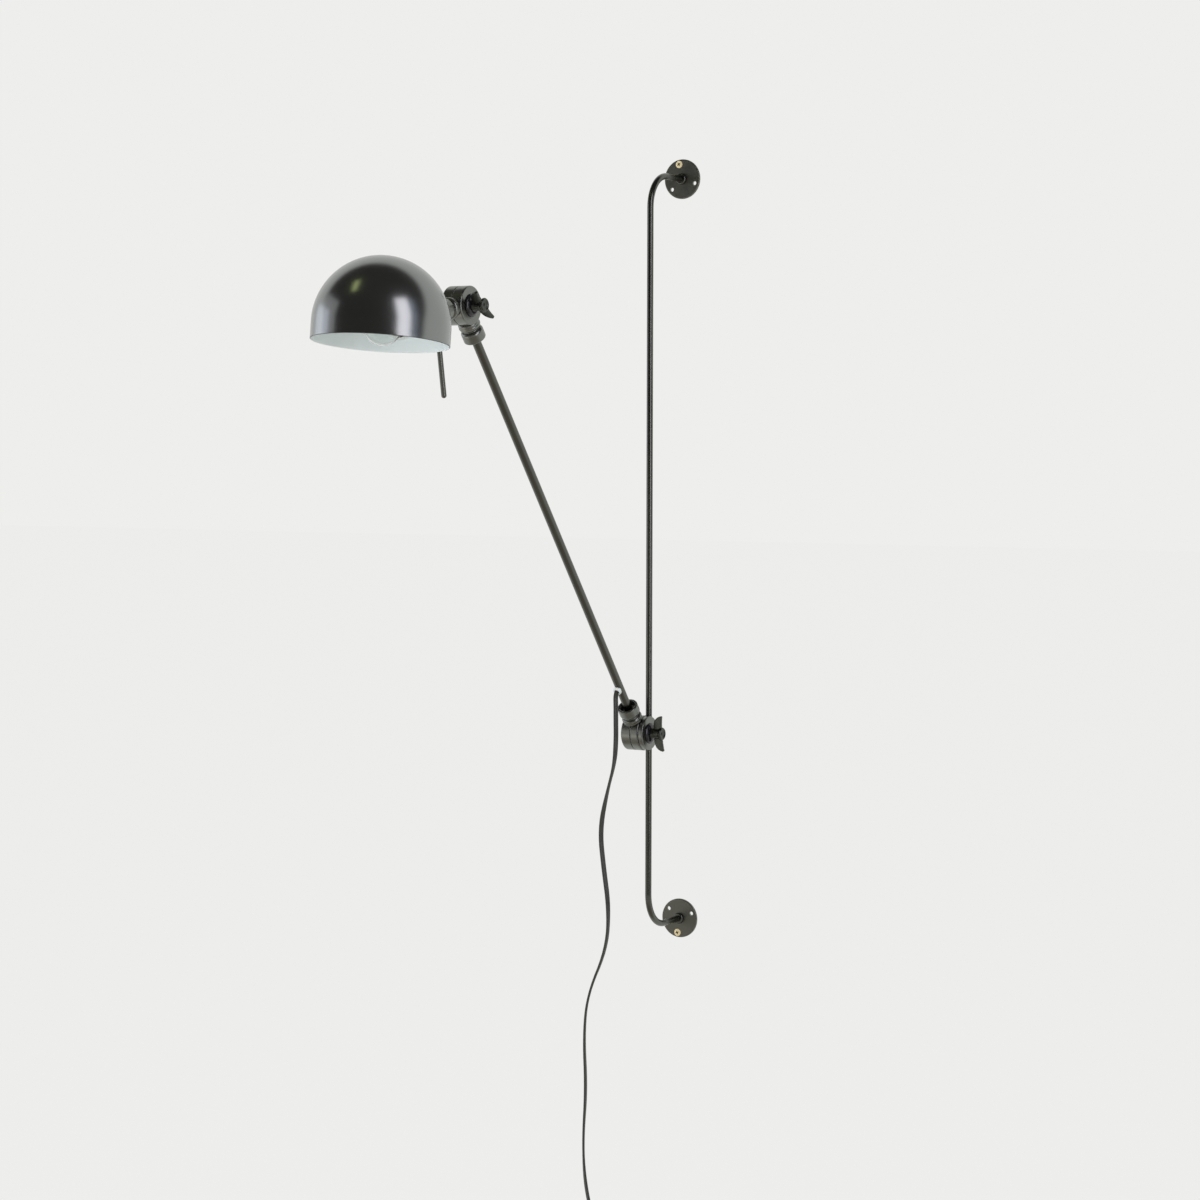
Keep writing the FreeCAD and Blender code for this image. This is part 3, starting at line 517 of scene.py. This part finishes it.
# ---------------------------------------------------------------- the handle, lampholder and bulb
# A thin plated steel rod for aiming the shade. Inside the shade a white moulded lampholder with a
# porcelain insert holds a small clear globe with a spun cap.
GLASS_IOR = 1.46

# Off-white moulding with a soft sheen.
holder_moulding = mottled("white_urea_moulding", "d9dbd6", "e3e5e0", 6, 0.3, 0.42, 1.2, 0.1)
# Cream body under a thin clear glaze.
porcelain = mottled("glazed_porcelain", "dcd9cd", "e8e5da", 5, 0.15, 0.25, 2, 0.1)
# Pale metal with the rings of spinning.
bulb_metal = mottled("spun_aluminium", "b4b4b2", "c6c6c4", 2, 0.28, 0.4, 0.5, 0.2, metallic=1.0)
# Blown glass: clear, with slight waves that bend what is seen through it.
glass = mottled("clear_glass", "f2f5f3", "f8faf9", 20, 0.01, 0.03, 12, 0.04)
glass.node_tree.nodes["Principled BSDF"].inputs["Transmission Weight"].default_value = 1.0
glass.node_tree.nodes["Principled BSDF"].inputs["IOR"].default_value = GLASS_IOR
dress(tube_plate, "handle_rod")
dress(holder_moulding, "lampholder_cap", "lampholder_body")
dress(porcelain, "lampholder_insert")
dress(bulb_metal, "bulb_cap")
dress(glass, "bulb_glass")

# ---------------------------------------------------------------- the cord
# A flat twin flex with a translucent grey-black sheath. It falls from the arm's bushing, twisting a
# little, and the length that isn't needed is wound up, tied and hangs with its plug.
FLEX_WIDE, FLEX_THICK, FLEX_LONG = 0.006, 0.0033, 2.06
CORD_AT, EXIT_LEAN, LIP = 0.078, math.radians(50), 0.0086
COIL_FROM_TOP = (-0.066, -0.010, -0.725)
COIL_OUT, COIL_STEP, COIL_LAYER = 0.0443, 0.0075, 0.0071
COIL_IN_TURNS, COIL_CROSS_TURNS, POINTS_PER_TURN = 2.75, 0.5, 16
COIL_IN = COIL_OUT - COIL_STEP * COIL_IN_TURNS
COIL_TURNS = 2 * COIL_IN_TURNS + COIL_CROSS_TURNS
COIL_REACH = COIL_OUT + 0.004             # within this of the middle, the width points to the middle

arm_way = (UPPER - LOWER).normalized()
exit_way = Vector((0, -math.sin(EXIT_LEAN), -math.cos(EXIT_LEAN)))
cord_top = LOWER + arm_way * CORD_AT + exit_way * LIP
coil_mid = cord_top + Vector(COIL_FROM_TOP)


def coil_point(turn):
    """The middle of the cord at a number of turns: in on one layer, across, out on the next."""
    crossed = turn - COIL_IN_TURNS
    if crossed < 0:
        radius, layer = COIL_OUT - COIL_STEP * turn, 0.0
    elif crossed < COIL_CROSS_TURNS:
        radius, layer = COIL_IN, (1 - math.cos(math.pi * crossed / COIL_CROSS_TURNS)) / 2
    else:
        radius, layer = COIL_IN + COIL_STEP * (crossed - COIL_CROSS_TURNS), 1.0
    a = 2 * math.pi * turn
    return coil_mid + Vector((radius * math.cos(a), -COIL_LAYER * layer, -radius * math.sin(a)))


# The route in mm: down from the bushing, straight into the coil, round it, and on to the plug.
DROP = ((0.0, 0.0, 0.0), (0.5, -3.4, -3.6), (1.8, -6.0, -9.4), (3.0, -7.6, -18.0),
        (4.0, -9.4, -33.0), (5.2, -10.8, -58.0), (3.2, -10.8, -88.0), (-6.5, -10.4, -120.0),
        (-17.6, -11.0, -170.0), (-12.0, -11.2, -218.0), (-4.4, -10.8, -268.0),
        (-7.5, -10.4, -320.0), (-35.0, -10.8, -380.0), (-40.0, -11.2, -432.0),
        (-36.5, -10.8, -500.0), (-41.5, -10.4, -564.0), (-38.5, -10.8, -618.0),
        (-27.0, -10.6, -664.0))
LEAD_IN = ((0.0, 0.0, 34.0), (0.0, 0.0, 6.0))
TAIL = ((0.0, 0.0, -6.0), (0.0, 0.0, -22.0), (-6.0, 2.5, -42.0), (-6.0, 2.5, -64.0))

coil_start, coil_end = coil_point(0), coil_point(COIL_TURNS)
route = [cord_top + Vector(step) / 1000 for step in DROP]
route += [coil_start + Vector(step) / 1000 for step in LEAD_IN]
route += [coil_point(n / POINTS_PER_TURN) for n in range(int(COIL_TURNS * POINTS_PER_TURN) + 1)]
route += [coil_end + Vector(step) / 1000 for step in TAIL]

line = bpy.data.curves.new("flex_line", "CURVE")
line.dimensions = "3D"
line.resolution_u = 6
spline = line.splines.new("NURBS")
spline.points.add(len(route) - 1)
for point, place in zip(spline.points, route):
    point.co = (*place, 1)
spline.order_u = 3
spline.use_endpoint_u = True
line_object = show("flex_line", line)
bpy.context.view_layer.update()
path = [v.co.copy() for v in bpy.data.meshes.new_from_object(line_object).vertices]
bpy.data.objects.remove(line_object)

# How far the flat side is turned from facing the camera, in degrees, at drops in metres.
TWIST = ((0.0, 8), (0.05, 5), (0.11, 72), (0.17, 10), (0.235, 15), (0.3, 60), (0.38, 86),
         (0.5, 66), (0.57, 88), (0.63, 122), (0.725, 150))
AROUND, SIDE_POWER, FACE_POWER = 28, 0.8, 0.7
WAIST_DEEP, WAIST_WIDE = 0.22, 0.28       # the groove between the cores, in shares of the half sizes


def twist_at(drop):
    """The turn of the flat side at a drop, eased between the turns that are given."""
    for (a, from_turn), (b, to_turn) in zip(TWIST, TWIST[1:]):
        if drop <= b:
            share = max(0.0, (drop - a) / (b - a))
            share = share * share * (3 - 2 * share)
            return math.radians(from_turn + (to_turn - from_turn) * share)
    return math.radians(TWIST[-1][1])


def flex_outline():
    """Two round cores side by side under one sheath, as points across and through the flex."""
    points = []
    for k in range(AROUND):
        a = 2 * math.pi * k / AROUND
        across = math.copysign(abs(math.cos(a)) ** SIDE_POWER, math.cos(a))
        through = math.copysign(abs(math.sin(a)) ** FACE_POWER, math.sin(a))
        waist = 1 - WAIST_DEEP * math.exp(-(across / WAIST_WIDE) ** 2)
        points.append((across * FLEX_WIDE / 2, through * FLEX_THICK / 2 * waist))
    return points


outline = flex_outline()
mesh = bmesh.new()
rings, before = [], None
for i, place in enumerate(path):
    along = (path[min(i + 1, len(path) - 1)] - path[max(i - 1, 0)]).normalized()
    from_mid = place - coil_mid
    if math.hypot(from_mid.x, from_mid.z) < COIL_REACH:
        wide = Vector((from_mid.x, 0, from_mid.z))
    else:
        turn = twist_at(cord_top.z - place.z)
        wide = Vector((math.cos(YAW + turn), math.sin(YAW + turn), 0))
    wide = (wide - along * wide.dot(along)).normalized()
    if before is not None and wide.dot(before) < 0:
        wide = -wide
    before = wide
    deep = along.cross(wide)
    rings.append([mesh.verts.new(place + wide * a + deep * b) for a, b in outline])
for a, b in zip(rings, rings[1:]):
    for k in range(AROUND):
        face = mesh.faces.new((a[k], a[(k + 1) % AROUND], b[(k + 1) % AROUND], b[k]))
        face.smooth = True
mesh.faces.new(list(reversed(rings[0])))
mesh.faces.new(rings[-1])

# Soft PVC, smoky enough to look grey where the light grazes it.
sheath = mottled("translucent_pvc_sheath", "2f2e2a", "3b3a35", 9, 0.32, 0.45, 1.5, 0.12)
dress(sheath, "arm_lead", "stem_lead")
flex = show("flex", drawn("flex", mesh, sheath))
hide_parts("cord_drop", "cord_coil", "cord_tail")
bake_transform(flex)

# ---------------------------------------------------------------- the bushing, the tie and the plug
# A natural nylon bushing lines the hole in the arm's underside, a soft strap holds the coil, and a
# flat two-pin plug is moulded on the cord's end.
NYLON_GLOW, NYLON_DEPTH = 0.2, 0.002

# Milky nylon that lets a little light in, so it looks bright against the dark arm.
nylon = mottled("natural_nylon", "dcdedb", "e9ebe8", 4, 0.35, 0.5, 1, 0.1)
nylon.node_tree.nodes["Principled BSDF"].inputs["Subsurface Weight"].default_value = NYLON_GLOW
nylon.node_tree.nodes["Principled BSDF"].inputs["Subsurface Scale"].default_value = NYLON_DEPTH
# Moulded vinyl with a dull, slightly pebbled skin.
vinyl = mottled("soft_black_vinyl", "1c1c1b", "272725", 5, 0.5, 0.62, 1, 0.2)
# Pale warm metal, bright from the plating bath.
nickel = mottled("nickel_plated_pins", "a9a8a4", "b9b8b4", 3, 0.2, 0.3, 1, 0.05, metallic=1.0)
dress(nylon, "cord_bushing")
dress(vinyl, "coil_tie", "plug_body")
dress(nickel, "plug_pins")
